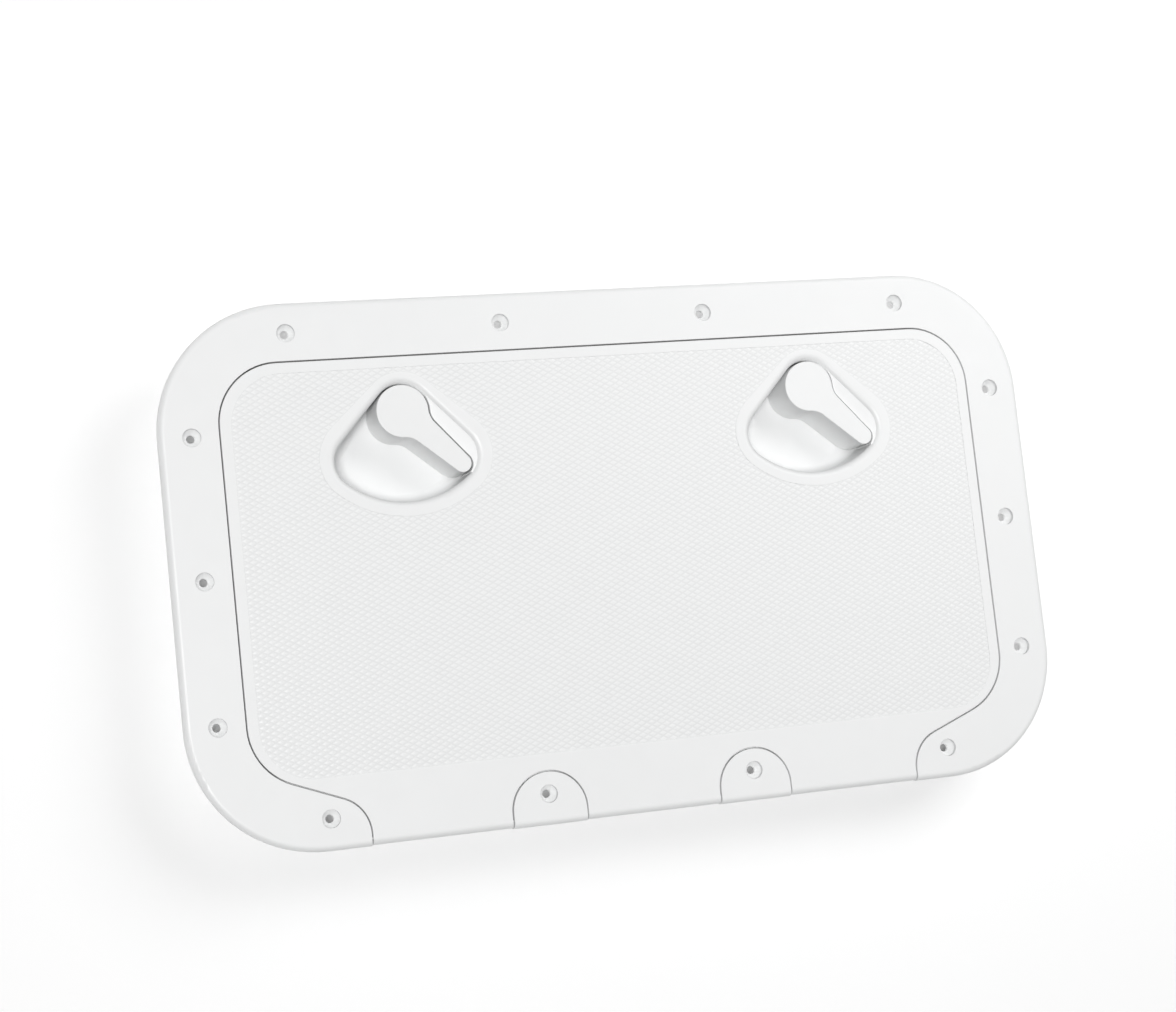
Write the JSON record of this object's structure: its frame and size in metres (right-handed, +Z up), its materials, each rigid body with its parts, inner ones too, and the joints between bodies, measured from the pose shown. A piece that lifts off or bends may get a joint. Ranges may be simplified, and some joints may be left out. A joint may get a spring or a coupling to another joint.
{
  "type": "locking access hatch",
  "caption": "Flush deck hatch: a hinged lid with a diamond tread and turning lock handles in a screwed-down flange with a collar and rain gutter.",
  "frame": {"origin": "centre of the screw pattern on the deck plane, where the flange's underside lies", "axes": "+Z up out of the lid, +Y towards the lock handles, away from the hinge, +X to the right"},
  "size_m": [0.606, 0.353, 0.052],
  "materials": {
    "frame_plastic": "satin",
    "lid_plastic": "satin",
    "handle_plastic": "satin",
    "cam_plastic": "matt",
    "washer_plastic": "matt",
    "gasket_rubber": "matt",
    "seal_rubber": "matt",
    "steel": "brushed"
  },
  "bodies": {
    "frame": {"frame": "frame_plastic", "tab_pin_left": "steel", "tab_pin_right": "steel", "end_pin_left": "steel", "end_pin_right": "steel"},
    "lid": {"lid": "lid_plastic", "gasket": "gasket_rubber", "shaft_seal_left": "seal_rubber", "shaft_seal_right": "seal_rubber"},
    "latch_left": {"handle_left": "handle_plastic", "thrust_washer_left": "washer_plastic", "cam_left": "cam_plastic", "lock_washer_left": "steel", "cam_screw_left": "steel"},
    "latch_right": {"handle_right": "handle_plastic", "thrust_washer_right": "washer_plastic", "cam_right": "cam_plastic", "lock_washer_right": "steel", "cam_screw_right": "steel"}
  },
  "joints": [
    {"name": "lid_hinge", "type": "hinge", "parent": "frame", "child": "lid", "pos_m": [0, -0.1715, 0.0046], "axis": [1, 0, 0], "range_deg": [0, 180]},
    {"name": "latch_turn_left", "type": "hinge", "parent": "lid", "child": "latch_left", "pos_m": [-0.144, 0.101, 0], "axis": [0, 0, -1], "range_deg": [0, 90]},
    {"name": "latch_turn_right", "type": "hinge", "parent": "lid", "child": "latch_right", "pos_m": [0.144, 0.101, 0], "axis": [0, 0, -1], "range_deg": [0, 90]}
  ]
}
